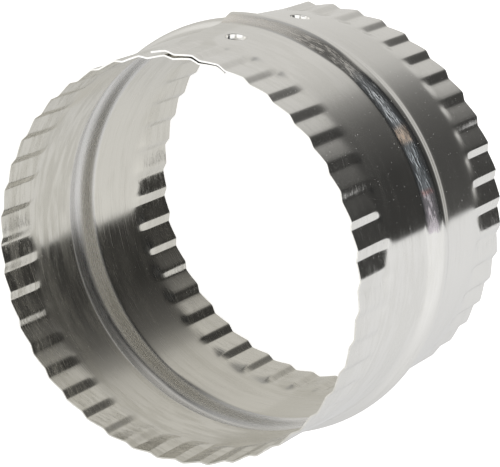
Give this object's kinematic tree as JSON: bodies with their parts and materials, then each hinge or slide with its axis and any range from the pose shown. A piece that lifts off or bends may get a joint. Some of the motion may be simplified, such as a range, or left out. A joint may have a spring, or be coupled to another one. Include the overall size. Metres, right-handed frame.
{
  "type": "duct connector",
  "caption": "Rolled sheet-metal sleeve, crimped at both ends and beaded round its middle, that joins two lengths of 4 inch round duct.",
  "frame": {"origin": "on the duct's axis, on the plane of the lower rim, which the part stands on", "axes": "+Z along the duct's axis, from the lower rim to the upper one; +X through the middle of the lap"},
  "size_m": [0.1059, 0.105, 0.0762],
  "materials": {
    "aluminium_sheet": "bright mill-finish sheet with fine rolling grain and light scratches"
  },
  "bodies": {
    "root": {"connector_sleeve": "aluminium_sheet"}
  },
  "joints": []
}
